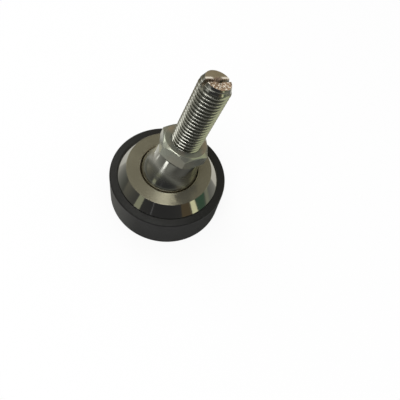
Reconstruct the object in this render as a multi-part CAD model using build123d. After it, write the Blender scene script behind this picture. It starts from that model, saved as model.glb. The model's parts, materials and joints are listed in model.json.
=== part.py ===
from build123d import *
import os
from math import cos, radians, sin, sqrt, tan

# Levelling foot: a rubber-shod steel pad that holds the ball end of a threaded stud.
# Millimetres, +Z up, origin at the middle of the rubber's underside, the stud leaning towards +X.

# Ball joint
ball_radius = 16.6
ball_flat_cut = 3.4  # turned off the ball's underside
tilt_limit = 15.0  # degrees from upright, also the lean at rest
stop_gap = 0.3  # left between neck and mouth at the tilt limit
socket_clearance = 0.3  # ball to the pad's socket
seat_clearance = 0.1  # ball to its seat, and seat to the pad

# Ball seat
seat_floor = 1.9
seat_floor_gap = 0.5  # under the ball's flat when it is fully tilted
seat_cone_angle = 35.0  # degrees between the seat's cone and its axis
seat_rim_drop = 4.6  # rim below the ball's centre
seat_wall = 3.4
seat_flange_width = 4.0
seat_flange_height = 3.6

# Steel pad
mouth_overlap = 0.5  # how far the mouth closes in over the ball
mouth_land = 1.4
mouth_chamfer = 0.3
ring_width = 7.4  # flat top ring, from the mouth to the cone
cone_run = 4.8
cone_height = 6.25

# Rubber boot
boot_floor = 4.0
boot_wall = 4.65
boot_clearance = 0.05
rim_drop = 0.4  # rim below the foot of the cone
rim_chamfer = 0.4
base_chamfer = 0.8

# Stud, measured along its own axis from the ball's centre
neck_height = 20.5
neck_top_radius = 12.0
thread_radius = 8.0
relief_radius = 7.8  # turned-down shank under the lock nut
relief_overrun = 0.1
shank_length = 47.9
tip_taper = 1.65  # off the radius at the end
tip_taper_length = 3.8
slot_width = 2.0
slot_depth = 3.5
slot_turn = -3.0  # degrees from the lean direction
centre_hole_radius = 2.0  # countersink left by the lathe's centre
centre_hole_angle = 60.0

# Lock nut
nut_width = 24.0  # across flats
nut_height = 8.0
nut_face_radius = 11.2
nut_chamfer_angle = 30.0
nut_countersink = 0.3
nut_clearance = 0.05
nut_turn = 3.4  # degrees from the lean direction to a corner

# Heights and radii that follow from the sizes above
tilt = radians(tilt_limit)
flat_depth = ball_radius - ball_flat_cut
flat_radius = sqrt(ball_radius**2 - flat_depth**2)
cup_depth = flat_depth * cos(tilt) + flat_radius * sin(tilt) + seat_floor_gap
pad_base = boot_floor
centre_height = pad_base + seat_floor + cup_depth

seat_cone = radians(seat_cone_angle)
seat_touch = ball_radius + seat_clearance
touch_radius = seat_touch * cos(seat_cone)
touch_depth = seat_touch * sin(seat_cone)
seat_radius = ball_radius + seat_wall
seat_rim = centre_height - seat_rim_drop
flange_radius = seat_radius + seat_flange_width
flange_top = pad_base + seat_flange_height

socket_radius = ball_radius + socket_clearance
mouth_radius = ball_radius - mouth_overlap
mouth_rise = sqrt(socket_radius**2 - mouth_radius**2) + mouth_land
pad_top = centre_height + mouth_rise
ring_radius = mouth_radius + ring_width
pad_radius = ring_radius + cone_run
cone_foot = pad_top - cone_height

boot_bore = pad_radius + boot_clearance
boot_radius = boot_bore + boot_wall
rim_height = cone_foot - rim_drop

# The mouth's edge, seen from the stud at the tilt limit, sets the width of the neck
edge_rise = mouth_rise - mouth_chamfer
stop_radius = mouth_radius * cos(tilt) - edge_rise * sin(tilt) - stop_gap
stop_height = mouth_radius * sin(tilt) + edge_rise * cos(tilt)

nut_bore = thread_radius + nut_clearance
tip_height = neck_height + shank_length
centre_hole_depth = centre_hole_radius / tan(radians(centre_hole_angle / 2))
relief_top = neck_height + nut_height + relief_overrun


def turned(*points):
    """A solid of revolution about Z from (radius, height) corners."""
    return revolve(Plane.XZ * make_face(Polyline(*points, close=True)), axis=Axis.Z)


def plug(radius, low, high):
    """A round plug on the Z axis between two heights."""
    return Pos(0, 0, low) * Cylinder(radius, high - low, align=(Align.CENTER, Align.CENTER, Align.MIN))


def make_rubber_boot():
    """Moulded cup with a flat floor, a flat rim and eased outer edges."""
    cup = turned(
        (0, 0),
        (boot_radius - base_chamfer, 0),
        (boot_radius, base_chamfer),
        (boot_radius, rim_height - rim_chamfer),
        (boot_radius - rim_chamfer, rim_height),
        (0, rim_height),
    )
    return cup - plug(boot_bore, boot_floor, rim_height)


def make_steel_pad():
    """Turned body: cone and top ring outside, mouth, socket and stepped seat bore inside."""
    body = turned(
        (0, pad_base),
        (pad_radius, pad_base),
        (pad_radius, cone_foot),
        (ring_radius, pad_top),
        (mouth_radius + mouth_chamfer, pad_top),
        (mouth_radius, pad_top - mouth_chamfer),
        (0, pad_top - mouth_chamfer),
    )
    body -= plug(mouth_radius, centre_height, pad_top)
    body -= Pos(0, 0, centre_height) * Sphere(socket_radius)
    body -= plug(socket_radius, pad_base, centre_height)
    body -= plug(seat_radius + seat_clearance, pad_base, seat_rim + seat_clearance)
    body -= plug(flange_radius + seat_clearance, pad_base, flange_top + seat_clearance)
    return body


def make_ball_seat():
    """Flanged cup that stands on the boot's floor and carries the ball on a cone."""

    def cone_radius(depth):
        return touch_radius + (touch_depth - depth) * tan(seat_cone)

    return turned(
        (0, pad_base),
        (flange_radius, pad_base),
        (flange_radius, flange_top),
        (seat_radius, flange_top),
        (seat_radius, seat_rim),
        (cone_radius(seat_rim_drop), seat_rim),
        (cone_radius(cup_depth), pad_base + seat_floor),
        (0, pad_base + seat_floor),
    )


def make_ball_stud():
    """Ball, tapered neck and shank in one, upright with the ball's centre at the origin."""
    ball = Sphere(ball_radius) - plug(ball_radius, -ball_radius, -flat_depth)
    neck = turned(
        (0, 0),
        (stop_radius, 0),
        (stop_radius, stop_height),
        (neck_top_radius, neck_height),
        (0, neck_height),
    )
    shank = turned(
        (0, neck_height),
        (relief_radius, neck_height),
        (relief_radius, relief_top),
        (thread_radius, relief_top),
        (thread_radius, tip_height - tip_taper_length),
        (thread_radius - tip_taper, tip_height),
        (centre_hole_radius, tip_height),
        (0, tip_height - centre_hole_depth),
    )
    slot = Rot(0, 0, slot_turn) * Box(4 * thread_radius, slot_width, 2 * slot_depth)
    return ball + neck + shank - Pos(0, 0, tip_height) * slot


def make_lock_nut():
    """Thin hexagon nut with both ends chamfered, standing on the neck in the stud's own frame."""
    corner_radius = nut_width / sqrt(3)
    chamfer_drop = (corner_radius - nut_face_radius) * tan(radians(nut_chamfer_angle))
    hexagon = extrude(RegularPolygon(nut_width / 2, 6, major_radius=False), nut_height)
    barrel = turned(
        (0, 0),
        (nut_face_radius, 0),
        (corner_radius, chamfer_drop),
        (corner_radius, nut_height - chamfer_drop),
        (nut_face_radius, nut_height),
        (0, nut_height),
    )
    bore = turned(
        (0, 0),
        (nut_bore + nut_countersink, 0),
        (nut_bore, nut_countersink),
        (nut_bore, nut_height - nut_countersink),
        (nut_bore + nut_countersink, nut_height),
        (0, nut_height),
    )
    return Pos(0, 0, neck_height) * Rot(0, 0, nut_turn) * ((hexagon & barrel) - bore)


# The stud and its nut lean together about the ball's centre
lean = Pos(0, 0, centre_height) * Rot(0, tilt_limit, 0)
pieces = {
    "rubber_boot": make_rubber_boot(),
    "steel_pad": make_steel_pad(),
    "ball_seat": make_ball_seat(),
    "ball_stud": lean * make_ball_stud(),
    "lock_nut": lean * make_lock_nut(),
}

os.makedirs("parts", exist_ok=True)
for name, piece in pieces.items():
    export_step(piece, f"parts/{name}.step")
    print(name, round(piece.volume, 1), piece.bounding_box())
print("ball centre", round(centre_height, 3), "pad top", round(pad_top, 3), "tip", round(tip_height, 3))
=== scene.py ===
import json
from math import atan2, cos, pi, radians, sin, sqrt, tan

import bpy
from bpy.props import FloatProperty, FloatVectorProperty, PointerProperty
from bpy.types import NodeSocket, Operator, Panel, PropertyGroup
from mathutils import Matrix, Vector


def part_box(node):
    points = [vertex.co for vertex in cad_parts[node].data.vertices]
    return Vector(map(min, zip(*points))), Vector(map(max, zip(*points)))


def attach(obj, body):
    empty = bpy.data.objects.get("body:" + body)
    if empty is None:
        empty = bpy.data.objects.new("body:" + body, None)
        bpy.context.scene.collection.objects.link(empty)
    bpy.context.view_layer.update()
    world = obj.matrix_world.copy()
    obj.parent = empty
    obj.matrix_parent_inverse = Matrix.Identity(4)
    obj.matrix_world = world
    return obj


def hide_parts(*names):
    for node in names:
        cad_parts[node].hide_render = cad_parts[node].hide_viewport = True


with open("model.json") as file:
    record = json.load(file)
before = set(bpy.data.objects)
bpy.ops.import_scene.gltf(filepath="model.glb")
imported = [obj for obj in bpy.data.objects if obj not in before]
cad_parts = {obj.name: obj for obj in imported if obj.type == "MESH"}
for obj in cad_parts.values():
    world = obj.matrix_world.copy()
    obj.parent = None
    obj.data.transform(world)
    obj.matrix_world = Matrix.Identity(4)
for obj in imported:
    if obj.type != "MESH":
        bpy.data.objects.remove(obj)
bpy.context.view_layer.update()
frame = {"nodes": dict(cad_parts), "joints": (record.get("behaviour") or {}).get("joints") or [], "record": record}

bl_info = {
    "name": "Leveling Foot",
    "version": (1, 0, 0),
    "blender": (4, 5, 0),
    "location": "View3D > Sidebar > Leveling Foot",
    "description": "Models and finishes a swivel leveling foot round its packed solids",
    "category": "Object",
}

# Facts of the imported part, in metres
MM = 0.001
JOINTS = {joint["name"]: joint for joint in frame["joints"]}
MOUNTS = {mount["name"]: mount for mount in frame["record"]["mounts"]}
PIVOT = Vector(JOINTS["stud_tilt"]["pos_m"])
STUD_AXIS = Vector(JOINTS["nut_travel"]["axis"])
LEAN = atan2(STUD_AXIS.x, STUD_AXIS.z)
STUD_FRAME = Matrix.Translation(PIVOT) @ Matrix.Rotation(LEAN, 4, "Y")


def along_stud(point):
    """Height of a point along the stud, from the ball's centre."""
    return (Vector(point) - PIVOT).dot(STUD_AXIS)


def stud_span(node):
    """Lowest and highest point of a solid along the stud."""
    heights = [along_stud(vertex.co) for vertex in frame["nodes"][node].data.vertices]
    return min(heights), max(heights)


BALL_FLAT, STUD_TIP = stud_span("ball_stud")
NECK_TOP, NUT_TOP = stud_span("lock_nut")
BOOT_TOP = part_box("rubber_boot")[1]
PAD_BASE, PAD_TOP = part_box("steel_pad")
SEAT_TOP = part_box("ball_seat")[1]
THREAD_SIZE = MOUNTS["thread"]["dims"]
THREAD_RADIUS = THREAD_SIZE["r_mm"] * MM
TAPER_START = along_stud(MOUNTS["thread"]["pos_m"]) + THREAD_SIZE["length_mm"] * MM / 2

# Fits between the pieces, as in the solids
BOOT_GAP = 0.05 * MM
SEAT_GAP = 0.1 * MM
RIM_DROP = 0.4 * MM

# How finely the pieces are modelled, and how far cutters and joined shapes reach past a face
TURNING_STEPS = 192
THREAD_STEPS = 96
ROUND_STEPS = 4
SMOOTH_ANGLE = radians(35)
WELD = 1e-7
OVERLAP = 0.2 * MM
OVERRUN = 1 * MM

# The thread's profile as shares of its pitch
ROOT_END = 0.12
ROOT_ROUND = 0.04
CREST_START = 0.4
CREST_ROUND = 0.06

# The thread's crests stay just inside the solid, and its winding starts some turns below the nut
CREST_INSET = 0.01 * MM
LEAD_IN_TURNS = 4


# Properties


def length(name, description, default):
    """A length in metres."""
    return FloatProperty(
        name=name, description=description, default=default, min=0, unit="LENGTH", precision=5
    )


def angle(name, description, degrees):
    """An angle, given in degrees."""
    return FloatProperty(name=name, description=description, default=radians(degrees), subtype="ANGLE")


def colour(name, description, default):
    """A linear colour."""
    return FloatVectorProperty(
        name=name, description=description, default=default, size=3, min=0, soft_max=1, subtype="COLOR"
    )


class BootSettings(PropertyGroup):
    """Sizes and colour of the rubber boot"""

    base_radius: length("Base radius", "Outside of the boot at the floor", BOOT_TOP.x)
    draft: length("Draft", "How much narrower the rim is than the base", 0.2 * MM)
    rim_height: length("Rim height", "Inner edge of the rim above the floor", BOOT_TOP.z)
    rim_fall: length("Rim fall", "How much lower the rim is at its outer edge", 0.4 * MM)
    floor_height: length("Floor", "Thickness of the rubber under the steel", PAD_BASE.z)
    bore_radius: length("Bore", "Inside of the wall, round the steel pad", PAD_TOP.x + BOOT_GAP)
    rim_round: length("Rim round", "Eased outer edge of the rim", 0.9 * MM)
    lip_round: length("Lip round", "Eased inner edge of the rim", 0.3 * MM)
    base_round: length("Base round", "Eased edge at the floor", 0.8 * MM)
    tone: colour("Rubber", "Colour of the rubber", (0.031, 0.031, 0.0305))


class PadSettings(PropertyGroup):
    """Sizes and colours of the steel pad"""

    radius: length("Radius", "Outside of the pad, in the boot", PAD_TOP.x)
    ring_radius: length("Ring radius", "Outer edge of the flat top ring", 23.5 * MM)
    cone_foot: length("Cone foot", "Height where the cone meets the straight wall", BOOT_TOP.z + RIM_DROP)
    mouth_radius: length("Mouth", "Hole that the ball shows through", 16.1 * MM)
    mouth_chamfer: length("Mouth chamfer", "Chamfer at the mouth's upper edge", 0.3 * MM)
    mouth_land: length("Mouth land", "Straight wall of the mouth", 1.4 * MM)
    socket_radius: length("Socket", "Hollow sphere round the ball", 16.9 * MM)
    seat_bore: length("Seat bore", "Bore round the ball seat", 20.1 * MM)
    flange_bore: length("Flange bore", "Bore round the seat's flange", SEAT_TOP.x + SEAT_GAP)
    flange_bore_height: length("Flange bore height", "Depth of the flange's bore", 3.7 * MM)
    edge_round: length("Edge round", "Broken edges of the turning", 0.12 * MM)
    tone: colour("Pad steel", "Colour of the bright plated pad", (0.46, 0.455, 0.43))
    ring_tone: colour("Ring steel", "Colour of the dull top ring", (0.305, 0.288, 0.222))
    grease: colour("Grease", "Colour of the greased wall of the mouth", (0.4, 0.34, 0.22))


class StudSettings(PropertyGroup):
    """Sizes and colours of the ball stud, with heights from the ball's centre along the stud"""

    ball_radius: length("Ball", "Radius of the captive ball", 16.6 * MM)
    neck_root_radius: length("Neck root", "Radius of the neck's cone at the mouth", 13.3 * MM)
    neck_root_height: length("Neck root height", "Mouth's edge along the stud", 10.2 * MM)
    neck_top_radius: length("Neck top", "Radius of the shoulder under the nut", 11.7 * MM)
    neck_flare: length("Neck flare", "Hollow curve between ball and neck", 16.0 * MM)
    shoulder_round: length("Shoulder round", "Eased edge of the shoulder under the nut", 0.35 * MM)
    thread_pitch: length("Pitch", "Rise of the thread in one turn", 2.0 * MM)
    thread_depth: length("Thread depth", "Crest to root", 1.1 * MM)
    thread_start: length("Thread start", "Where the winding starts, to set the thread's phase", 1.22 * MM)
    tip_taper: length("Tip taper", "Taken off the radius at the end of the stud", 1.65 * MM)
    tip_round: length("Tip round", "Eased edge of the stud's end", 0.15 * MM)
    slot_width: length("Slot width", "Screwdriver slot in the end", 2.0 * MM)
    slot_depth: length("Slot depth", "Depth of the screwdriver slot", 3.5 * MM)
    slot_turn: angle("Slot turn", "Slot from the lean direction", -3.0)
    centre_hole: length("Centre hole", "Radius of the lathe centre's countersink", 2.0 * MM)
    centre_angle: angle("Centre angle", "Angle of the lathe centre's countersink", 60.0)
    tone: colour("Stud steel", "Colour of the plated stud", (0.47, 0.47, 0.44))
    end_tone: colour("End face", "Colour of the bare end", (0.78, 0.69, 0.6))
    torn_tone: colour("Torn metal", "Colour of the torn metal on the end", (0.44, 0.3, 0.19))
    # Painted glints: the sparkle of light on the torn end, painted in this colour
    painted_glint_tone: colour("Glints", "Colour of the fresh metal in the torn end", (1.0, 0.93, 0.8))


class NutSettings(PropertyGroup):
    """Sizes and colours of the lock nut"""

    width: length("Across flats", "Size of the hexagon", 24.0 * MM)
    face_radius: length("Face radius", "Round flat face inside the chamfer", 11.2 * MM)
    chamfer_angle: angle("Chamfer", "Angle of the end chamfers", 30.0)
    thread_gap: length("Thread gap", "Gap between the crests and roots of nut and stud", 0.06 * MM)
    thread_play: length("Thread play", "Gap along the axis between the flanks of nut and stud", 0.15 * MM)
    countersink: length("Countersink", "How far the countersink opens past the thread", 0.1 * MM)
    countersink_angle: angle("Countersink angle", "Slope of the countersink off the nut's face", 30.0)
    turn: angle("Turn", "Corner from the lean direction", 3.4)
    edge_round: length("Edge round", "Softened edges of the hexagon", 0.22 * MM)
    tone: colour("Nut zinc", "Colour of the zinc plated nut", (0.365, 0.38, 0.325))
    tarnish: colour("Tarnish", "Colour of the zinc's warm patches", (0.54, 0.43, 0.32))


class StageSettings(PropertyGroup):
    """Camera and floor"""

    camera_distance: length("Camera distance", "Camera from the middle of the boot's underside", 234.87 * MM)
    camera_azimuth: angle("Camera azimuth", "Camera from the lean direction", -122.19)
    camera_elevation: angle("Camera elevation", "Camera above the floor", 60.70)
    camera_yaw: angle("Camera yaw", "Sideways turn off the origin", -5.31)
    camera_pitch: angle("Camera pitch", "Upward turn off the origin", -0.35)
    camera_roll: angle("Camera roll", "Tilt of the picture", -9.13)
    lens: FloatProperty(name="Lens", description="Focal length on a 36 mm sensor", default=34.148)
    floor_tone: colour("Floor", "Colour of the pale floor", (0.9, 0.9, 0.9))
    shadow_share: FloatProperty(
        name="Shadow",
        description="How much of the object's shadow the white floor keeps",
        default=0.12,
        subtype="FACTOR",
    )


class FootSettings(PropertyGroup):
    """All settings of the foot and its stage"""

    boot: PointerProperty(type=BootSettings)
    pad: PointerProperty(type=PadSettings)
    stud: PointerProperty(type=StudSettings)
    nut: PointerProperty(type=NutSettings)
    stage: PointerProperty(type=StageSettings)


# Modelling


def direction(azimuth, elevation):
    """A unit vector from an azimuth and an elevation in degrees."""
    turn, rise = radians(azimuth), radians(elevation)
    return Vector((cos(rise) * cos(turn), cos(rise) * sin(turn), sin(rise)))


def activate(piece):
    """Makes a piece the only selected object."""
    bpy.ops.object.select_all(action="DESELECT")
    piece.select_set(True)
    bpy.context.view_layer.objects.active = piece


def start_with(primitive, name, **sizes):
    """Adds a primitive under a name as the only selected object."""
    bpy.ops.object.select_all(action="DESELECT")
    primitive(**sizes)
    bpy.context.object.name = name
    return bpy.context.object


def arc(x, y, radius, start, end, steps=16):
    """Corners along a round stretch of a profile, from one angle to another."""
    turns = [start + (end - start) * step / steps for step in range(steps + 1)]
    return [(x + radius * cos(turn), y + radius * sin(turn), 0) for turn in turns]


def eased(corners):
    """Profile points through (radius, height, round) corners, each edge rounded by its own set-back."""
    points = []
    for index, (x, y, set_back) in enumerate(corners):
        corner = Vector((x, y))
        if not set_back:
            points.append(corner)
            continue
        before = Vector(corners[index - 1][:2])
        after = Vector(corners[(index + 1) % len(corners)][:2])
        start = corner + (before - corner).normalized() * set_back
        end = corner + (after - corner).normalized() * set_back
        for step in range(ROUND_STEPS + 1):
            share = step / ROUND_STEPS
            points.append(start.lerp(corner, share).lerp(corner.lerp(end, share), share))
    return points


def draw_chain(name, points):
    """Draws a chain of edges through (radius, height) points and stays in edit mode."""
    piece = start_with(bpy.ops.mesh.primitive_plane_add, name, size=MM)
    bpy.ops.object.mode_set(mode="EDIT")
    bpy.ops.mesh.select_all(action="SELECT")
    bpy.ops.mesh.merge(type="CENTER")
    last = Vector((points[0].x, 0, points[0].y))
    bpy.ops.transform.translate(value=last)
    for point in points[1:]:
        place = Vector((point.x, 0, point.y))
        bpy.ops.mesh.extrude_vertices_move(TRANSFORM_OT_translate={"value": place - last})
        last = place
    bpy.ops.mesh.select_all(action="SELECT")
    return piece


def close_up():
    """Welds the mesh in edit mode, turns its faces outwards and leaves edit mode."""
    bpy.ops.mesh.select_all(action="SELECT")
    bpy.ops.mesh.remove_doubles(threshold=WELD)
    bpy.ops.mesh.normals_make_consistent(inside=False)
    bpy.ops.object.mode_set(mode="OBJECT")


def turned(name, corners):
    """A piece turned about the Z axis from (radius, height, round) corners."""
    piece = draw_chain(name, eased(corners))
    bpy.ops.mesh.spin(steps=TURNING_STEPS, angle=2 * pi, center=(0, 0, 0), axis=(0, 0, 1))
    close_up()
    return piece


def modify(piece, kind, **settings):
    """Adds a modifier with its settings and applies it."""
    activate(piece)
    bpy.ops.object.modifier_add(type=kind)
    modifier = piece.modifiers[-1]
    for key, value in settings.items():
        setattr(modifier, key, value)
    bpy.ops.object.modifier_apply(modifier=modifier.name)


def carve(piece, tool, operation):
    """Cuts, joins or trims a piece with another shape, which is then gone."""
    modify(piece, "BOOLEAN", operation=operation, object=tool, solver="EXACT")
    bpy.data.objects.remove(tool)


def apply_place(piece):
    """Moves an object's place, turn and size into its mesh."""
    activate(piece)
    bpy.ops.object.transform_apply(location=True, rotation=True, scale=True)


def place_on_stud(piece):
    """Leans an upright piece into the stud's place."""
    piece.matrix_world = STUD_FRAME
    apply_place(piece)


def wound_bar(name, stud, low, high, gap=0, play=0):
    """A threaded bar between two heights, in step with the stud's thread and grown by a gap and play."""
    pitch = stud.thread_pitch
    crest = THREAD_RADIUS - CREST_INSET + gap
    root = crest - stud.thread_depth
    start = NECK_TOP - LEAD_IN_TURNS * pitch + stud.thread_start
    corners = [
        (root, start, 0),
        (root, start + pitch * ROOT_END - play, pitch * ROOT_ROUND),
        (crest, start + pitch * CREST_START - play, pitch * CREST_ROUND),
        (crest, start + pitch * (1 - CREST_START) + play, pitch * CREST_ROUND),
        (root, start + pitch * (1 - ROOT_END) + play, pitch * ROOT_ROUND),
        (root, start + pitch, 0),
    ]
    bar = draw_chain(name, eased(corners))
    bpy.ops.object.mode_set(mode="OBJECT")
    modify(
        bar,
        "SCREW",
        axis="Z",
        screw_offset=pitch,
        iterations=int((high - start) / pitch) + 2,
        steps=THREAD_STEPS,
        render_steps=THREAD_STEPS,
        use_merge_vertices=True,
        merge_threshold=WELD,
    )
    bpy.ops.object.mode_set(mode="EDIT")
    for height, upwards in ((low, True), (high, False)):
        bpy.ops.mesh.select_all(action="SELECT")
        bpy.ops.mesh.bisect(
            plane_co=(0, 0, height),
            plane_no=(0, 0, 1),
            use_fill=True,
            clear_inner=upwards,
            clear_outer=not upwards,
            threshold=WELD,
        )
    close_up()
    return bar


def shade(piece):
    """Smooth shading that keeps flat faces flat and real edges crisp."""
    activate(piece)
    bpy.ops.object.shade_smooth_by_angle(angle=SMOOTH_ANGLE)
    modify(piece, "WEIGHTED_NORMAL", keep_sharp=True)


def hand_over(piece, node, body, material):
    """Gives a finished piece its material and its place in the frame."""
    piece.data.materials.clear()
    piece.data.materials.append(material)
    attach(piece, body)
    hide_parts(node)


# Materials


def feed(tree, socket, value):
    """Links a socket to another one, or sets it to a plain value."""
    if isinstance(value, NodeSocket):
        tree.links.new(value, socket)
    else:
        socket.default_value = value


def add(tree, kind, inputs=None, **settings):
    """Adds a node with its settings, and links or sets its inputs."""
    node = tree.nodes.new(kind)
    for key, value in settings.items():
        setattr(node, key, value)
    for key, value in (inputs or {}).items():
        feed(tree, node.inputs[key], value)
    return node


def calc(tree, operation, *values):
    """A Math node's result."""
    return add(tree, "ShaderNodeMath", dict(enumerate(values)), operation=operation).outputs[0]


def vector_calc(tree, operation, *vectors):
    """A Vector Math node's outputs."""
    return add(tree, "ShaderNodeVectorMath", dict(enumerate(vectors)), operation=operation).outputs


def above(tree, value, limit):
    """A mask of where a value is over a limit."""
    return calc(tree, "GREATER_THAN", value, limit)


def below(tree, value, limit):
    """A mask of where a value is under a limit."""
    return calc(tree, "LESS_THAN", value, limit)


def all_of(tree, mask, *others):
    """A mask of where all of the given masks hold."""
    for other in others:
        mask = calc(tree, "MULTIPLY", mask, other)
    return mask


def any_of(tree, mask, *others):
    """A mask of where any of the given masks holds."""
    for other in others:
        mask = calc(tree, "MAXIMUM", mask, other)
    return mask


def spread(tree, value, low, high, to_low, to_high):
    """A value moved from one range to another and held there."""
    inputs = {"Value": value, "From Min": low, "From Max": high, "To Min": to_low, "To Max": to_high}
    return add(tree, "ShaderNodeMapRange", inputs).outputs["Result"]


def between(tree, share, first, second):
    """One value mixed with another."""
    return add(tree, "ShaderNodeMix", {"Factor": share, "A": first, "B": second}).outputs[0]


def blend(tree, share, first, second):
    """One colour mixed over another."""
    node = add(tree, "ShaderNodeMix", {"Factor": share}, data_type="RGBA")
    for socket, value in ((node.inputs[6], first), (node.inputs[7], second)):
        feed(tree, socket, value if isinstance(value, NodeSocket) else (*value, 1))
    return node.outputs[2]


def scaled(tone, factor):
    """A colour made darker or brighter by a factor."""
    return [part * factor for part in tone]


def noise(tree, vector, scale, detail=2.0, roughness=0.5):
    """A noise texture's value."""
    inputs = {"Vector": vector, "Scale": scale, "Detail": detail, "Roughness": roughness}
    return add(tree, "ShaderNodeTexNoise", inputs).outputs["Fac"]


def bump(tree, height, distance):
    """A normal from a height."""
    return add(tree, "ShaderNodeBump", {"Height": height, "Distance": distance}).outputs[0]


def axes(tree, vector):
    """A vector's X, Y and Z."""
    return add(tree, "ShaderNodeSeparateXYZ", {"Vector": vector}).outputs


def off_axis(tree, place):
    """The way from the Z axis to a place, and how long it is."""
    outward = vector_calc(tree, "MULTIPLY", place, (1, 1, 0))["Vector"]
    return outward, vector_calc(tree, "LENGTH", outward)["Value"]


def new_group(name, inputs, outputs):
    """An empty node group with its named sockets."""
    group = bpy.data.node_groups.new(name, "ShaderNodeTree")
    for socket, kind in inputs.items():
        group.interface.new_socket(socket, in_out="INPUT", socket_type=kind)
    for socket in outputs:
        group.interface.new_socket(socket, in_out="OUTPUT", socket_type="NodeSocketFloat")
    return group, group.nodes.new("NodeGroupInput").outputs, group.nodes.new("NodeGroupOutput").inputs


def turning_marks():
    """Fine tool lines round the Z axis, and broader bands of brightness."""
    name = "turning marks"
    if name in bpy.data.node_groups:
        return bpy.data.node_groups[name]
    inputs = {"Vector": "NodeSocketVector", "Lines": "NodeSocketFloat"}
    group, given, result = new_group(name, inputs, ("Height", "Bands"))
    radius = off_axis(group, given["Vector"])[1]
    height = axes(group, given["Vector"])["Z"]
    section = add(group, "ShaderNodeCombineXYZ", {"X": radius, "Y": height}).outputs[0]
    broad = calc(group, "MULTIPLY", given["Lines"], 0.12)
    group.links.new(noise(group, section, given["Lines"], 2.0, 0.6), result["Height"])
    group.links.new(noise(group, section, broad, 2.0, 0.5), result["Bands"])
    return group


def patina():
    """Cloudy stains and fine specks of handled plating."""
    name = "patina"
    if name in bpy.data.node_groups:
        return bpy.data.node_groups[name]
    inputs = {"Vector": "NodeSocketVector", "Scale": "NodeSocketFloat"}
    group, given, result = new_group(name, inputs, ("Clouds", "Specks"))
    clouds = noise(group, given["Vector"], given["Scale"], 4.0, 0.6)
    fine = calc(group, "MULTIPLY", given["Scale"], 14.0)
    specks = noise(group, given["Vector"], fine, 1.0, 0.5)
    group.links.new(spread(group, clouds, 0.35, 0.65, 0.0, 1.0), result["Clouds"])
    group.links.new(spread(group, specks, 0.62, 0.72, 0.0, 1.0), result["Specks"])
    return group


def use_group(tree, group, **inputs):
    """Places a node group and gives its outputs."""
    return add(tree, "ShaderNodeGroup", inputs, node_tree=group).outputs


def empty_tree(owner):
    """The node tree of a new material or world, with nothing in it."""
    owner.use_nodes = True
    owner.node_tree.nodes.clear()
    return owner.node_tree


def object_place(tree):
    """The place on the piece that is shaded."""
    return add(tree, "ShaderNodeTexCoord").outputs["Object"]


def new_material(name, leaning=False):
    """A material with its tree, its shader and the place on its piece, upright where the piece leans."""
    material = bpy.data.materials.new(name)
    tree = empty_tree(material)
    shader = add(tree, "ShaderNodeBsdfPrincipled")
    add(tree, "ShaderNodeOutputMaterial", {"Surface": shader.outputs[0]})
    place = object_place(tree)
    if leaning:
        inputs = {"Vector": place, "Location": PIVOT, "Rotation": (0, LEAN, 0)}
        place = add(tree, "ShaderNodeMapping", inputs, vector_type="TEXTURE").outputs[0]
    return material, tree, shader, place


def set_inputs(tree, shader, **inputs):
    """Links or sets a shader's inputs, with underscores for the spaces in their names."""
    for key, value in inputs.items():
        feed(tree, shader.inputs[key.replace("_", " ")], value)


def black_rubber(boot):
    """Moulded rubber with a soft sheen, a fine grain and dusty clouds, and a rim top without dust that is painted
    darker, a painted shade.
    """
    material, tree, shader, place = new_material("black_rubber")
    stains = use_group(tree, patina(), Vector=place, Scale=90.0)
    grain = noise(tree, place, 2600.0, 3.0, 0.6)
    dusty = [part * 1.5 + 0.004 for part in boot.tone]
    base = blend(tree, calc(tree, "MULTIPLY", stains["Clouds"], 0.4), boot.tone, dusty)
    base = blend(tree, calc(tree, "MULTIPLY", stains["Specks"], 0.4), base, dusty)
    # The rim's top loses its dust and is painted darker, with less sheen: a painted shade on the top of the rim
    rim_edge = boot.rim_height - boot.rim_fall
    painted_shade_rim = spread(tree, axes(tree, place)["Z"], rim_edge - 0.5 * MM, rim_edge - 0.1 * MM, 0, 1)
    set_inputs(
        tree,
        shader,
        Base_Color=blend(tree, painted_shade_rim, base, scaled(boot.tone, 0.3)),
        Roughness=spread(tree, stains["Clouds"], 0, 1, 0.36, 0.46),
        Specular_IOR_Level=spread(tree, painted_shade_rim, 0, 1, 0.5, 0.32),
        Normal=bump(tree, grain, 0.02 * MM),
    )
    return material


def bright_steel(pad):
    """Bright plating: a polished cone, a top ring whose turning lines streak the light, a greased mouth."""
    material, tree, shader, place = new_material("bright_pad_steel")
    marks = use_group(tree, turning_marks(), Vector=place, Lines=2600.0)
    stains = use_group(tree, patina(), Vector=place, Scale=60.0)
    ring_skin = 0.06 * MM
    grease_line = 0.15 * MM
    height = axes(tree, place)["Z"]
    outward, radius = off_axis(tree, place)
    on_ring = above(tree, height, PAD_TOP.z - ring_skin)
    near_mouth = below(tree, radius, pad.mouth_radius + pad.mouth_chamfer)
    greased = all_of(tree, near_mouth, below(tree, height, PAD_TOP.z - grease_line))

    cloudy = calc(tree, "MULTIPLY", stains["Clouds"], 0.5)
    base = blend(tree, cloudy, pad.tone, scaled(pad.tone, 0.86))
    base = blend(tree, on_ring, base, pad.ring_tone)
    polish = spread(tree, stains["Clouds"], 0, 1, 0.07, 0.1)
    satin = spread(tree, marks["Bands"], 0.3, 0.7, 0.15, 0.19)
    rough = between(tree, on_ring, polish, satin)
    metal = spread(tree, greased, 0, 1, 1.0, 0.1)
    set_inputs(
        tree,
        shader,
        Base_Color=blend(tree, greased, base, pad.grease),
        Metallic=calc(tree, "SUBTRACT", metal, calc(tree, "MULTIPLY", on_ring, 0.2)),
        Roughness=between(tree, greased, rough, 0.45),
        Anisotropic=calc(tree, "MULTIPLY", on_ring, 0.85),
        Tangent=outward,
        Normal=bump(tree, marks["Height"], 0.0004 * MM),
    )
    return material


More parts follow.
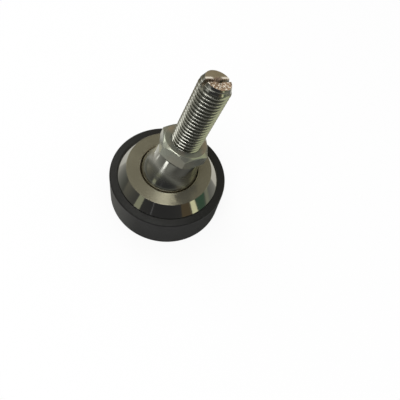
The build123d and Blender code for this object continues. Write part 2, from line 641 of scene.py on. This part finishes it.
def seat_steel(pad):
    """Plain turned steel of the hidden seat."""
    material, tree, shader, place = new_material("turned_seat_steel")
    marks = use_group(tree, turning_marks(), Vector=place, Lines=1500.0)
    set_inputs(
        tree,
        shader,
        Base_Color=blend(tree, marks["Bands"], pad.tone, scaled(pad.tone, 0.8)),
        Metallic=1.0,
        Roughness=spread(tree, marks["Height"], 0.3, 0.7, 0.28, 0.4),
        Normal=bump(tree, marks["Height"], 0.004 * MM),
    )
    return material


def end_masks(tree, slot_axes, radius, stud):
    """Where the stud's end is bare and torn, where a painted highlight lies along the slot's far edge, and where
    its centre hole is, in the slot's frame.
    """
    half_slot = stud.slot_width / 2
    slot_floor = STUD_TIP - stud.slot_depth
    floor_skin = hole_skin = 0.05 * MM
    hole_depth = 4 * MM
    along, across, height = slot_axes["X"], slot_axes["Y"], slot_axes["Z"]

    on_end = above(tree, height, STUD_TIP - 0.12 * MM)
    in_slot = below(tree, calc(tree, "ABSOLUTE", across), half_slot + 0.03 * MM)
    burr = spread(tree, height, STUD_TIP - 1.1 * MM, STUD_TIP - 0.7 * MM, 0, 1)
    on_wall = all_of(tree, burr, in_slot)
    under_floor = below(tree, height, slot_floor + floor_skin)
    over_floor = above(tree, height, slot_floor - floor_skin)
    on_floor = all_of(tree, under_floor, over_floor, in_slot)
    in_hole = below(tree, radius, stud.centre_hole + hole_skin)
    in_hole = all_of(tree, in_hole, above(tree, height, STUD_TIP - hole_depth))

    # A painted highlight: a cream band on the end beside the slot's far edge, which the torn mask also takes in
    by_slot = spread(tree, across, half_slot + 0.7 * MM, half_slot + 1.5 * MM, 1, 0)
    beside_hole = spread(tree, calc(tree, "ABSOLUTE", along), 1.8 * MM, 2.8 * MM, 0, 1)
    slot_edge_highlight = all_of(tree, by_slot, above(tree, across, 0.0), beside_hole, on_end)

    bare = any_of(tree, on_end, on_wall, in_hole)
    torn_side = spread(tree, across, -half_slot - 0.4 * MM, -half_slot, 1, 0)
    torn = any_of(
        tree,
        all_of(tree, bare, any_of(tree, torn_side, on_wall)),
        calc(tree, "MULTIPLY", in_hole, 0.8),
        calc(tree, "MULTIPLY", on_floor, 0.2),
        calc(tree, "MULTIPLY", slot_edge_highlight, 0.85),
    )
    return any_of(tree, bare, on_floor), torn, slot_edge_highlight, in_hole


def torn_metal(tree, place, grit, slot_edge_highlight, in_hole, stud):
    """Colour of the end's torn metal, with painted glints and the painted highlight along the slot's far edge."""
    # Painted glints of light in the torn metal
    painted_glints = spread(tree, noise(tree, place, 1150.0, 1.0, 0.5), 0.55, 0.62, 0, 1)
    painted_glints = all_of(tree, painted_glints, calc(tree, "SUBTRACT", 1.0, in_hole))
    raised = spread(tree, grit, 0.38, 0.6, 0, 1)
    tone = blend(tree, raised, scaled(stud.torn_tone, 0.35), stud.torn_tone)
    tone = blend(tree, painted_glints, tone, stud.painted_glint_tone)
    # The painted highlight along the slot's far edge
    return blend(tree, slot_edge_highlight, tone, stud.painted_glint_tone)


def stud_plating(tree, clouds, outward, radius, on_winding, stud):
    """Colour of the plating, with painted highlights on the crests and painted shade in the grooves on one side of
    the thread.
    """
    # The side of the thread that faces the camera, where the grooves get painted shade and the crests get painted
    # highlights
    painted_thread_side = direction(-124, 0)
    cloudy = calc(tree, "MULTIPLY", clouds, 0.5)
    plating = blend(tree, cloudy, stud.tone, scaled(stud.tone, 0.85))
    # Painted shade in the grooves and painted highlights on the crests
    depth = spread(tree, radius, THREAD_RADIUS - 0.45 * MM, THREAD_RADIUS - 0.1 * MM, 0, 1)
    winding = blend(tree, depth, scaled(stud.tone, 0.6), scaled(stud.tone, 1.6))
    outward = vector_calc(tree, "NORMALIZE", outward)["Vector"]
    facing = vector_calc(tree, "DOT_PRODUCT", outward, painted_thread_side)["Value"]
    painted_thread_contrast = all_of(tree, on_winding, spread(tree, facing, 0.8, 0.93, 0, 1))
    return blend(tree, painted_thread_contrast, plating, winding)


def stud_polish(tree, height, on_thread):
    """Roughness of the plating: a bright ball and neck, a duller flare between them and a satin thread."""
    below_neck = spread(tree, height, 13 * MM, 16 * MM, 1, 0)
    on_flare = all_of(tree, below_neck, spread(tree, height, 6 * MM, 9 * MM, 0, 1))
    bright = spread(tree, below_neck, 0, 1, 0.1, 0.13)
    smooth = calc(tree, "ADD", bright, calc(tree, "MULTIPLY", on_flare, 0.15))
    return between(tree, on_thread, smooth, 0.2)


def plated_stud(stud):
    """Plated ball, neck and thread, and a bare end, smooth on one side of the slot and torn on the other."""
    material, tree, shader, place = new_material("plated_stud_steel", leaning=True)
    marks = use_group(tree, turning_marks(), Vector=place, Lines=1800.0)
    stains = use_group(tree, patina(), Vector=place, Scale=140.0)
    grit = noise(tree, place, 800.0, 4.0, 0.7)
    turn_back = {"Vector": place, "Angle": -stud.slot_turn}
    slot_place = add(tree, "ShaderNodeVectorRotate", turn_back, rotation_type="Z_AXIS").outputs[0]
    slot_axes = axes(tree, slot_place)
    height = slot_axes["Z"]
    outward, radius = off_axis(tree, slot_place)
    bare, torn, slot_edge_highlight, in_hole = end_masks(tree, slot_axes, radius, stud)
    on_thread = above(tree, height, NECK_TOP + 0.1 * MM)
    on_winding = all_of(tree, on_thread, spread(tree, height, TAPER_START, TAPER_START + MM, 1, 0))

    plating = stud_plating(tree, stains["Clouds"], outward, radius, on_winding, stud)
    smooth_end = blend(tree, stains["Clouds"], stud.end_tone, scaled(stud.end_tone, 0.85))
    end = blend(tree, torn, smooth_end, torn_metal(tree, place, grit, slot_edge_highlight, in_hole, stud))
    off_thread = calc(tree, "SUBTRACT", 1.0, on_thread)
    line_depth = all_of(tree, spread(tree, height, 8 * MM, 11 * MM, 1, 5), off_thread)
    lines = calc(tree, "MULTIPLY", marks["Height"], line_depth)
    tears = calc(tree, "MULTIPLY", calc(tree, "MULTIPLY", grit, torn), 60.0)
    set_inputs(
        tree,
        shader,
        Base_Color=blend(tree, bare, plating, end),
        Metallic=spread(tree, torn, 0, 1, 1.0, 0.3),
        Roughness=between(tree, bare, stud_polish(tree, height, on_thread), 0.36),
        Normal=bump(tree, calc(tree, "ADD", lines, tears), 0.0015 * MM),
    )
    return material


def zinc_nut(nut):
    """Soft grey zinc with a faint cloudiness, and warm tarnish that is strongest on the top face."""
    material, tree, shader, place = new_material("zinc_nut_steel", leaning=True)
    stains = use_group(tree, patina(), Vector=place, Scale=110.0)
    grain = noise(tree, place, 1400.0, 3.0, 0.6)
    face_skin = 0.05 * MM
    on_face = above(tree, axes(tree, place)["Z"], NUT_TOP - face_skin)
    tarnish = spread(tree, noise(tree, place, 85.0, 2.0, 0.5), 0.45, 0.62, 0, 0.7)
    tarnish = all_of(tree, tarnish, spread(tree, on_face, 0, 1, 0.25, 1))
    base = blend(tree, stains["Clouds"], nut.tone, scaled(nut.tone, 0.86))
    polish = spread(tree, stains["Clouds"], 0, 1, 0.15, 0.21)
    set_inputs(
        tree,
        shader,
        Base_Color=blend(tree, tarnish, base, nut.tarnish),
        Metallic=0.75,
        Roughness=between(tree, on_face, polish, 0.32),
        Normal=bump(tree, grain, 0.0015 * MM),
    )
    return material


# Pieces


class FOOT_OT_rubber_boot(Operator):
    """Turn the moulded rubber boot"""

    bl_idname = "foot.rubber_boot"
    bl_label = "Rubber boot"

    def execute(self, context):
        boot = context.scene.leveling_foot.boot
        rim_radius = boot.base_radius - boot.draft
        piece = turned(
            "boot",
            [
                (0, 0, 0),
                (boot.base_radius, 0, boot.base_round),
                (rim_radius, boot.rim_height - boot.rim_fall, boot.rim_round),
                (boot.bore_radius, boot.rim_height, boot.lip_round),
                (boot.bore_radius, boot.floor_height, 0),
                (0, boot.floor_height, 0),
            ],
        )
        shade(piece)
        hand_over(piece, "rubber_boot", "pad", black_rubber(boot))
        return {"FINISHED"}


class FOOT_OT_steel_pad(Operator):
    """Turn the steel pad and finish the seat inside it"""

    bl_idname = "foot.steel_pad"
    bl_label = "Steel pad"

    def execute(self, context):
        pad = context.scene.leveling_foot.pad
        top = PAD_TOP.z
        base = PAD_BASE.z
        land_base = top - pad.mouth_chamfer - pad.mouth_land
        seat_bore_top = SEAT_TOP.z + SEAT_GAP
        socket_start = atan2(land_base - PIVOT.z, pad.mouth_radius)
        piece = turned(
            "pad",
            [
                (pad.flange_bore, base, 0),
                (pad.radius, base, pad.edge_round),
                (pad.radius, pad.cone_foot, pad.edge_round),
                (pad.ring_radius, top, pad.edge_round),
                (pad.mouth_radius + pad.mouth_chamfer, top, pad.edge_round / 2),
                (pad.mouth_radius, top - pad.mouth_chamfer, pad.edge_round / 2),
                *arc(0, PIVOT.z, pad.socket_radius, socket_start, 0),
                (pad.socket_radius, seat_bore_top, 0),
                (pad.seat_bore, seat_bore_top, 0),
                (pad.seat_bore, base + pad.flange_bore_height, 0),
                (pad.flange_bore, base + pad.flange_bore_height, 0),
                (pad.flange_bore, base, 0),
            ],
        )
        shade(piece)
        hand_over(piece, "steel_pad", "pad", bright_steel(pad))
        seat = frame["nodes"]["ball_seat"].data.materials
        seat.clear()
        seat.append(seat_steel(pad))
        return {"FINISHED"}


class FOOT_OT_ball_stud(Operator):
    """Turn the ball and neck, cut the thread and the slot, and lean the stud into place"""

    bl_idname = "foot.ball_stud"
    bl_label = "Ball stud"

    def execute(self, context):
        stud = context.scene.leveling_foot.stud
        piece = self.turn_ball(stud)
        carve(piece, self.cut_thread(stud), "UNION")
        place_on_stud(piece)
        shade(piece)
        hand_over(piece, "ball_stud", "stud", plated_stud(stud))
        return {"FINISHED"}

    def turn_ball(self, stud):
        """Ball and neck, joined by a hollow curve that touches both."""
        flat_angle = -atan2(-BALL_FLAT, sqrt(stud.ball_radius**2 - BALL_FLAT**2))
        root = Vector((stud.neck_root_radius, stud.neck_root_height))
        along = (Vector((stud.neck_top_radius, NECK_TOP)) - root).normalized()
        outward = Vector((along.y, -along.x))
        start = root + outward * stud.neck_flare
        slide = start.dot(along)
        reach = stud.ball_radius + stud.neck_flare
        centre = start + along * (sqrt(slide**2 - start.length_squared + reach**2) - slide)
        meeting = atan2(centre.y, centre.x)
        leaving = atan2(outward.y, outward.x)
        return turned(
            "stud",
            [
                (0, BALL_FLAT, 0),
                *arc(0, 0, stud.ball_radius, flat_angle, meeting, 40),
                *arc(centre.x, centre.y, stud.neck_flare, meeting + pi, leaving + pi, 12)[1:],
                (stud.neck_top_radius, NECK_TOP, stud.shoulder_round),
                (0, NECK_TOP, 0),
            ],
        )

    def cut_thread(self, stud):
        """The threaded shank, trimmed to its tapered end and slotted."""
        thread = wound_bar("thread", stud, NECK_TOP - OVERLAP, STUD_TIP + OVERLAP)
        carve(thread, self.stock(stud), "INTERSECT")
        carve(thread, self.slot_cutter(stud), "DIFFERENCE")
        return thread

    def stock(self, stud):
        """The round bar that the thread is cut in, with its tapered and centred end."""
        low = NECK_TOP - OVERRUN
        return turned(
            "stock",
            [
                (0, low, 0),
                (THREAD_RADIUS, low, 0),
                (THREAD_RADIUS, TAPER_START, 0),
                (THREAD_RADIUS - stud.tip_taper, STUD_TIP, stud.tip_round),
                (stud.centre_hole, STUD_TIP, 0),
                (0, STUD_TIP - stud.centre_hole / tan(stud.centre_angle / 2), 0),
            ],
        )

    def slot_cutter(self, stud):
        """A bar as wide as the slot, across the end of the stud."""
        return start_with(
            bpy.ops.mesh.primitive_cube_add,
            "slot_cutter",
            size=1,
            location=(0, 0, STUD_TIP),
            rotation=(0, 0, stud.slot_turn),
            scale=(THREAD_RADIUS * 4, stud.slot_width, stud.slot_depth * 2),
        )


class FOOT_OT_lock_nut(Operator):
    """Cut the chamfered hexagon nut and run it down onto the neck"""

    bl_idname = "foot.lock_nut"
    bl_label = "Lock nut"

    def execute(self, context):
        nut = context.scene.leveling_foot.nut
        stud = context.scene.leveling_foot.stud
        piece = self.cut_hexagon(nut)
        modify(
            piece,
            "BEVEL",
            width=nut.edge_round,
            segments=3,
            limit_method="ANGLE",
            angle_limit=radians(25),
            use_clamp_overlap=False,
        )
        carve(piece, self.countersinks(nut), "DIFFERENCE")
        tap = wound_bar(
            "tap", stud, NECK_TOP - OVERRUN, NUT_TOP + OVERRUN, nut.thread_gap, nut.thread_play
        )
        carve(piece, tap, "DIFFERENCE")
        place_on_stud(piece)
        shade(piece)
        hand_over(piece, "lock_nut", "nut", zinc_nut(nut))
        return {"FINISHED"}

    def cut_hexagon(self, nut):
        """A hexagon bar trimmed by a barrel, whose cones chamfer both ends and run on past the corners."""
        corner = nut.width / sqrt(3)
        first_corner = radians(30)  # turns a corner of the primitive to the lean direction
        piece = start_with(
            bpy.ops.mesh.primitive_cylinder_add,
            "nut",
            vertices=6,
            radius=corner,
            depth=NUT_TOP - NECK_TOP,
            location=(0, 0, (NECK_TOP + NUT_TOP) / 2),
            rotation=(0, 0, nut.turn + first_corner),
        )
        apply_place(piece)
        run = (corner - nut.face_radius) * 1.2
        drop = run * tan(nut.chamfer_angle)
        wide = nut.face_radius + run
        barrel = turned(
            "barrel",
            [
                (0, NECK_TOP, 0),
                (nut.face_radius, NECK_TOP, 0),
                (wide, NECK_TOP + drop, 0),
                (wide, NUT_TOP - drop, 0),
                (nut.face_radius, NUT_TOP, 0),
                (0, NUT_TOP, 0),
            ],
        )
        carve(piece, barrel, "INTERSECT")
        return piece

    def countersinks(self, nut):
        """A core narrower than the thread's root that opens in a wide cone at both faces."""
        core = THREAD_RADIUS * 0.8
        slope = tan(nut.countersink_angle)
        mouth = THREAD_RADIUS + nut.countersink
        depth = (mouth - core) * slope
        wide = mouth + OVERRUN / slope
        return turned(
            "countersinks",
            [
                (0, NECK_TOP - OVERRUN, 0),
                (wide, NECK_TOP - OVERRUN, 0),
                (core, NECK_TOP + depth, 0),
                (core, NUT_TOP - depth, 0),
                (wide, NUT_TOP + OVERRUN, 0),
                (0, NUT_TOP + OVERRUN, 0),
            ],
        )


# Stage


def facing(towards):
    """A turn that points the Z axis in a direction."""
    return towards.to_track_quat("Z", "Y").to_matrix().to_4x4()


def only_reflected(thing):
    """Keeps a stage piece out of the picture and its light, so that only shiny surfaces show it."""
    for kind in ("camera", "diffuse", "transmission", "volume_scatter", "shadow"):
        setattr(thing, f"visible_{kind}", False)


def glow(thing):
    """Gives a stage piece a material that only glows, and returns its tree and emission node."""
    material = bpy.data.materials.new(thing.name)
    thing.data.materials.append(material)
    tree = empty_tree(material)
    emission = add(tree, "ShaderNodeEmission")
    add(tree, "ShaderNodeOutputMaterial", {"Surface": emission.outputs[0]})
    return tree, emission


def ramp(tree, value, stops):
    """A colour ramp through (position, colour) stops."""
    node = add(tree, "ShaderNodeValToRGB", {"Fac": value})
    elements = node.color_ramp.elements
    for position, tone in stops[1:-1]:
        elements.new(position)
    for element, (position, tone) in zip(elements, stops):
        element.position = position
        element.color = (*tone, 1)
    return node.outputs["Color"]


def seen_rays(tree):
    """A mask of the rays that show a surface: straight to the camera, mirrored or through glass."""
    rays = add(tree, "ShaderNodeLightPath").outputs
    return any_of(tree, rays["Is Camera Ray"], rays["Is Glossy Ray"], rays["Is Transmission Ray"])


class FOOT_OT_stage(Operator):
    """Set the floor, the light tent that the metal mirrors, the lamps and the camera"""

    bl_idname = "foot.stage"
    bl_label = "Stage"

    floor_size = 8
    sky_light = 0.7
    tent_radius = 0.6
    # Fronts of the tent and the mat: azimuth, elevation in degrees
    tent_front = (-122, 8)
    mat_front = (-95, 0)
    # Tone of the tent, from its back to its front
    tent_stops = (
        (0.0, (0.27, 0.245, 0.165)),
        (0.5, (0.23, 0.22, 0.17)),
        (0.75, (0.1, 0.1, 0.088)),
        (0.9, (0.055, 0.055, 0.053)),
        (1.0, (0.045, 0.045, 0.046)),
    )
    # Tone of the mat, from its middle to the tent
    mat_stops = (
        (0.0, (0.3, 0.3, 0.28)),
        (0.08, (0.34, 0.34, 0.31)),
        (0.12, (0.7, 0.69, 0.63)),
        (0.17, (0.53, 0.52, 0.47)),
        (0.21, (0.33, 0.33, 0.3)),
        (0.26, (0.24, 0.24, 0.215)),
        (0.34, (0.18, 0.185, 0.165)),
        (0.45, (0.14, 0.145, 0.125)),
        (1.0, (0.06, 0.06, 0.055)),
    )
    # The mat and the patches on it lie in layers, so that no two share a height
    layer_height = 0.1 * MM
    mat_layer = 2
    # Cards in the tent: name, azimuth, elevation, width, height in degrees, glow
    card_distance = tent_radius * 0.9
    cards = (
        ("ceiling_tube", 125, 86, 12, 34, (4.4, 4.4, 4.2)),
        ("ceiling_end", 58, 70, 4, 20, (1.6, 1.6, 1.45)),
        ("ceiling_beam", 51.5, 62, 3, 7, (0.3, 0.3, 0.28)),
        ("back_lamp", 97, 47, 17, 10, (2.4, 2.4, 2.2)),
        ("back_strip", 90, 38, 24, 10, (1.6, 1.6, 1.5)),
        ("back_wall", 106, 66, 20, 26, (0.72, 0.72, 0.63)),
        ("side_wall", -15.5, 31.5, 36, 49, (0.7, 0.73, 0.48)),
        ("dark_ceiling", -36, 67, 46, 27, (0.03, 0.03, 0.026)),
        ("chamfer_lamp", -112, 73, 10, 8, (2.2, 2.2, 2.1)),
        ("left_wall", 126, 14, 34, 16, (0.5, 0.5, 0.46)),
        ("post_top", -169, 30, 20, 12, (0.6, 0.6, 0.55)),
        ("yellow_window", -64, 3, 10, 16, (1.1, 1.1, 0.7)),
        ("green_door", -45.5, 4, 25, 16, (0.065, 0.125, 0.08)),
        ("brown_door", -79, 6, 17, 20, (0.13, 0.1, 0.06)),
        ("thin_post", -141, 8, 1.2, 18, (0.2, 0.2, 0.21)),
        ("pale_post", -167.5, 6, 11, 18, (0.4, 0.41, 0.29)),
    )
    # Bright patches on the mat: name, azimuth in degrees, distance, length, width, glow
    patches = (
        ("floor_right", 16, 100 * MM, 100 * MM, 110 * MM, (0.82, 0.8, 0.71)),
        ("floor_back", 97, 84 * MM, 54 * MM, 96 * MM, (0.8, 0.79, 0.73)),
        ("floor_streak", -167.5, 122 * MM, 60 * MM, 5 * MM, (3.2, 3.2, 3.1)),
        ("far_streak", -167.5, 184 * MM, 64 * MM, 36 * MM, (2.4, 2.4, 2.3)),
        ("floor_olive", -35, 340 * MM, 200 * MM, 240 * MM, (0.3, 0.31, 0.23)),
        ("floor_spark", 118, 62 * MM, 7 * MM, 6 * MM, (3.4, 3.4, 3.2)),
        ("floor_glint", 145, 105 * MM, 10 * MM, 8 * MM, (2.0, 2.0, 1.9)),
    )
    # Soft boxes: name, azimuth, elevation in degrees, power in watts
    lamp_distance = 0.9
    lamp_size = 0.5
    lamps = (("key_box", -150, 62, 2.6), ("back_box", 91, 48, 1.4))

    def execute(self, context):
        stage = context.scene.leveling_foot.stage
        self.lay_floor(stage)
        self.raise_tent()
        self.lay_mat()
        self.hang_cards()
        self.hang_lamps()
        self.set_world()
        self.set_camera(stage)
        context.scene.view_settings.view_transform = "Standard"
        return {"FINISHED"}

    def lay_floor(self, stage):
        """A wide pale floor that is white to the camera and keeps a share of its shadow."""
        floor = start_with(bpy.ops.mesh.primitive_plane_add, "floor", size=self.floor_size)
        material = bpy.data.materials.new("pale_floor")
        floor.data.materials.append(material)
        tree = empty_tree(material)
        matte = add(tree, "ShaderNodeBsdfDiffuse", {"Color": (*stage.floor_tone, 1)})
        white = add(tree, "ShaderNodeEmission", {"Color": (1, 1, 1, 1), "Strength": 1.0})
        share = calc(tree, "MULTIPLY", seen_rays(tree), 1 - stage.shadow_share)
        mixed = add(tree, "ShaderNodeMixShader", {0: share, 1: matte.outputs[0], 2: white.outputs[0]})
        add(tree, "ShaderNodeOutputMaterial", {"Surface": mixed.outputs[0]})

    def raise_tent(self):
        """A dome that the metal mirrors, dim behind the camera and paler at the back."""
        tent = start_with(
            bpy.ops.mesh.primitive_uv_sphere_add,
            "light_tent",
            segments=48,
            ring_count=24,
            radius=self.tent_radius,
        )
        tree, emission = glow(tent)
        front = vector_calc(tree, "DOT_PRODUCT", object_place(tree), direction(*self.tent_front))
        share = spread(tree, front["Value"], -self.tent_radius, self.tent_radius, 0, 1)
        feed(tree, emission.inputs["Color"], ramp(tree, share, self.tent_stops))
        only_reflected(tent)

    def lay_mat(self):
        """A round mat that the metal mirrors, shaded close to the foot on its front."""
        mat = start_with(
            bpy.ops.mesh.primitive_circle_add,
            "grey_mat",
            vertices=96,
            radius=self.tent_radius,
            fill_type="NGON",
            location=(0, 0, self.layer_height * self.mat_layer),
        )
        tree, emission = glow(mat)
        place = object_place(tree)
        reach = vector_calc(tree, "LENGTH", place)["Value"]
        share = spread(tree, reach, 0, self.tent_radius, 0, 1)
        towards = vector_calc(tree, "NORMALIZE", place)["Vector"]
        front = vector_calc(tree, "DOT_PRODUCT", towards, direction(*self.mat_front))["Value"]
        in_front = spread(tree, front, 0.15, 0.65, 0, 1)
        shaded = spread(tree, reach, 110 * MM, 150 * MM, 0.22, 1.35)
        feed(tree, emission.inputs["Color"], ramp(tree, share, self.mat_stops))
        feed(tree, emission.inputs["Strength"], between(tree, in_front, 1.0, shaded))
        only_reflected(mat)

    def hang_cards(self):
        """Cards in the tent, which face the ball, and patches on the mat."""
        distance = self.card_distance
        for name, azimuth, elevation, width, height, tone in self.cards:
            towards = direction(azimuth, elevation)
            place = Matrix.Translation(towards * distance + PIVOT) @ facing(-towards)
            across = 2 * distance * tan(radians(width / 2))
            up = 2 * distance * tan(radians(height / 2))
            self.add_card(name, place, across, up, tone)
        for layer, (name, azimuth, reach, along, across, tone) in enumerate(self.patches, self.mat_layer + 1):
            place = direction(azimuth, 0) * reach + Vector((0, 0, self.layer_height * layer))
            turn = Matrix.Rotation(radians(azimuth), 4, "Z")
            self.add_card(name, Matrix.Translation(place) @ turn, along, across, tone)

    def add_card(self, name, place, width, height, tone):
        """One glowing card that only the metal sees."""
        card = start_with(bpy.ops.mesh.primitive_plane_add, name, size=1)
        card.matrix_world = place @ Matrix.Diagonal((width, height, 1, 1))
        glow(card)[1].inputs["Color"].default_value = (*tone, 1)
        only_reflected(card)

    def hang_lamps(self):
        """Two soft boxes that light the rubber and the floor."""
        for name, azimuth, elevation, power in self.lamps:
            towards = direction(azimuth, elevation)
            light = bpy.data.lights.new(name, "AREA")
            light.shape = "DISK"
            light.size = self.lamp_size
            light.energy = power
            lamp = bpy.data.objects.new(name, light)
            bpy.context.scene.collection.objects.link(lamp)
            lamp.matrix_world = Matrix.Translation(towards * self.lamp_distance) @ facing(towards)
            lamp.visible_glossy = False

    def set_world(self):
        """Pale surroundings, white where the camera looks past the floor."""
        world = bpy.data.worlds.new("surroundings")
        bpy.context.scene.world = world
        tree = empty_tree(world)
        strength = spread(tree, seen_rays(tree), 0, 1, self.sky_light, 1.0)
        sky = add(tree, "ShaderNodeBackground", {"Color": (1, 1, 1, 1), "Strength": strength})
        add(tree, "ShaderNodeOutputWorld", {"Surface": sky.outputs[0]})

    def set_camera(self, stage):
        """The camera, placed round the origin and then turned off it."""
        lens = bpy.data.cameras.new("camera")
        lens.lens = stage.lens
        lens.sensor_width = 36
        lens.clip_start = MM
        camera = bpy.data.objects.new("camera", lens)
        bpy.context.scene.collection.objects.link(camera)
        camera.matrix_world = (
            Matrix.Rotation(stage.camera_azimuth + pi / 2, 4, "Z")
            @ Matrix.Rotation(pi / 2 - stage.camera_elevation, 4, "X")
            @ Matrix.Translation((0, 0, stage.camera_distance))
            @ Matrix.Rotation(stage.camera_yaw, 4, "Y")
            @ Matrix.Rotation(stage.camera_pitch, 4, "X")
            @ Matrix.Rotation(-stage.camera_roll, 4, "Z")
        )
        bpy.context.scene.camera = camera


class FOOT_PT_panel(Panel):
    """The foot's pieces and their settings"""

    bl_idname = "FOOT_PT_panel"
    bl_label = "Leveling Foot"
    bl_space_type = "VIEW_3D"
    bl_region_type = "UI"
    bl_category = "Leveling Foot"

    def draw(self, context):
        foot = context.scene.leveling_foot
        for piece, settings in zip(PIECES, (foot.boot, foot.pad, foot.stud, foot.nut, foot.stage)):
            box = self.layout.box()
            for key in settings.bl_rna.properties.keys():
                if key not in ("rna_type", "name"):
                    box.prop(settings, key)
            box.operator(piece.bl_idname)


SETTINGS = (BootSettings, PadSettings, StudSettings, NutSettings, StageSettings, FootSettings)
PIECES = (FOOT_OT_rubber_boot, FOOT_OT_steel_pad, FOOT_OT_ball_stud, FOOT_OT_lock_nut, FOOT_OT_stage)
CLASSES = (*SETTINGS, *PIECES, FOOT_PT_panel)


def register():
    """Registers the settings, the operators and the panel."""
    for each in CLASSES:
        bpy.utils.register_class(each)
    bpy.types.Scene.leveling_foot = PointerProperty(type=FootSettings)


def unregister():
    """Takes everything out again."""
    del bpy.types.Scene.leveling_foot
    for each in reversed(CLASSES):
        bpy.utils.unregister_class(each)


def main():
    """Builds the foot and its stage."""
    register()
    bpy.ops.foot.rubber_boot()
    bpy.ops.foot.steel_pad()
    bpy.ops.foot.ball_stud()
    bpy.ops.foot.lock_nut()
    bpy.ops.foot.stage()


if __name__ == "__main__":
    main()
